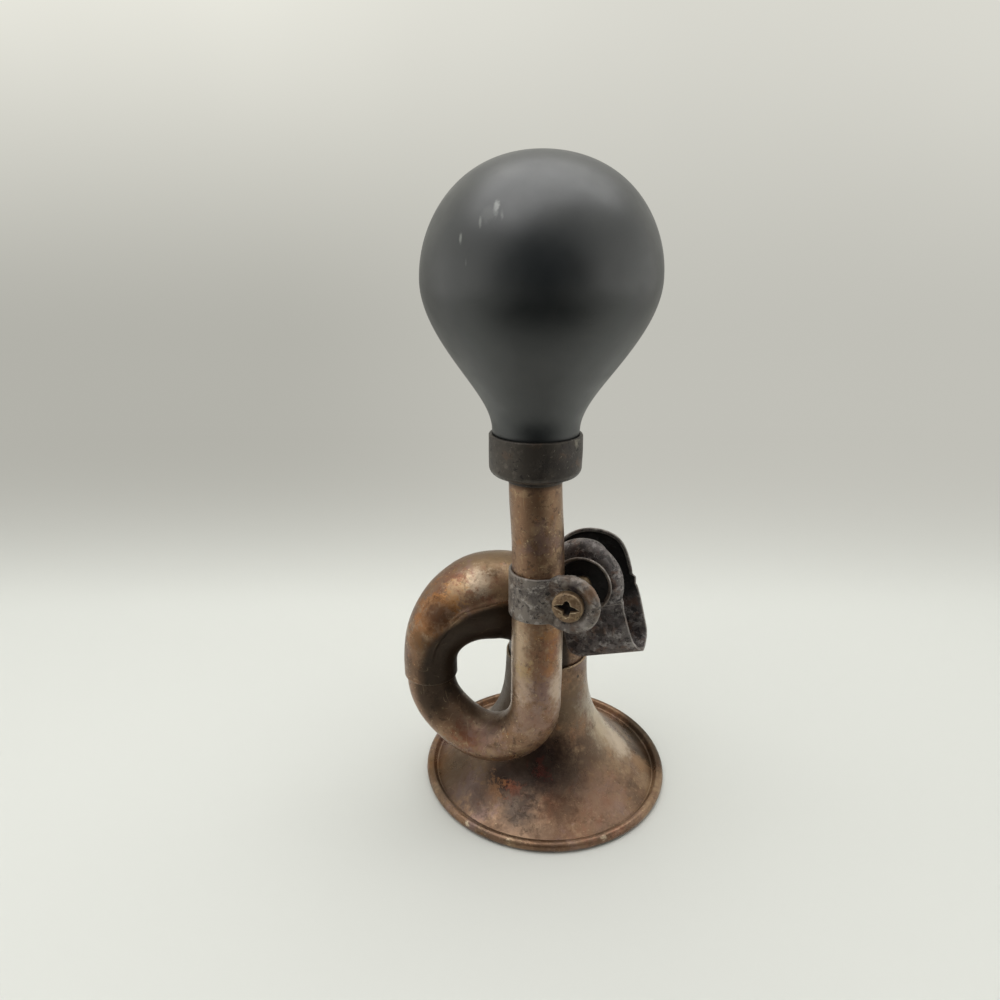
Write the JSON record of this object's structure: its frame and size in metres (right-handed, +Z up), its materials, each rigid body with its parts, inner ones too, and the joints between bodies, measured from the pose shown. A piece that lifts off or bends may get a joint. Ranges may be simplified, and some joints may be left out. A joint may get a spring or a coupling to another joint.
{
  "type": "bulb horn",
  "caption": "Old bulb horn with a black rubber bulb, a looped brown brass tube, a flared bell and a steel strip clip for a bar.",
  "frame": {"origin": "on the plane that the bell stands on, at the middle of the horn's plan", "axes": "+Z up along the straight tube and the bell axis, +X to the side of the clip, -Y to the side of the screw head"},
  "size_m": [0.076, 0.0844, 0.1696],
  "materials": {
    "rubber": "matte",
    "dark_metal": "dull",
    "clamp_steel": "dull, pitted",
    "patina_brass": "brown patina",
    "clean_brass": "satin",
    "screw_metal": "dull",
    "leather": "matte"
  },
  "bodies": {
    "horn": {"horn_tube": "patina_brass", "upper_crook": "patina_brass", "bell": "patina_brass", "rim_wire": "clean_brass", "tube_ring": "dark_metal", "bulb_collar": "dark_metal", "neck_nipple": "clean_brass", "neck_washer": "leather", "neck_binding": "clean_brass", "reed_holder": "clean_brass", "reed_wedge": "clean_brass"},
    "bulb": {"bulb": "rubber"},
    "reed": {"reed_tongue": "clean_brass"},
    "strap": {"tube_strap": "clamp_steel"},
    "screw": {"clamp_screw": "screw_metal"},
    "clip": {"bar_clip": "clamp_steel", "nut_washer": "clamp_steel", "lock_washer": "clamp_steel", "clamp_nut": "clamp_steel"}
  },
  "joints": [
    {"name": "bulb_squeeze", "type": "slide", "parent": "horn", "child": "bulb", "axis": [0, 0, -1], "range_m": [0, 0.02], "stiffness_N_per_m": 1200, "deforming": ["bulb"]},
    {"name": "reed_flex", "type": "hinge", "parent": "horn", "child": "reed", "pos_m": [-0.00091, -0.0161, 0.0962], "axis": [0, 1, 0], "range_deg": [0, 2.5], "stiffness_Nm_per_rad": 0.02},
    {"name": "strap_swivel", "type": "hinge", "parent": "horn", "child": "strap", "pos_m": [-0.00216, -0.0161, 0.0698], "axis": [0, 0, -1], "range_deg": [0, 140]},
    {"name": "clip_swivel", "type": "hinge", "parent": "strap", "child": "clip", "pos_m": [0.01218, -0.00605, 0.0698], "axis": [-0.3746, -0.9272, 0], "range_deg": [0, 200]},
    {"name": "screw_turn", "type": "hinge", "parent": "strap", "child": "screw", "pos_m": [0.00668, -0.01967, 0.0698], "axis": [-0.3746, -0.9272, 0], "continuous": true}
  ]
}
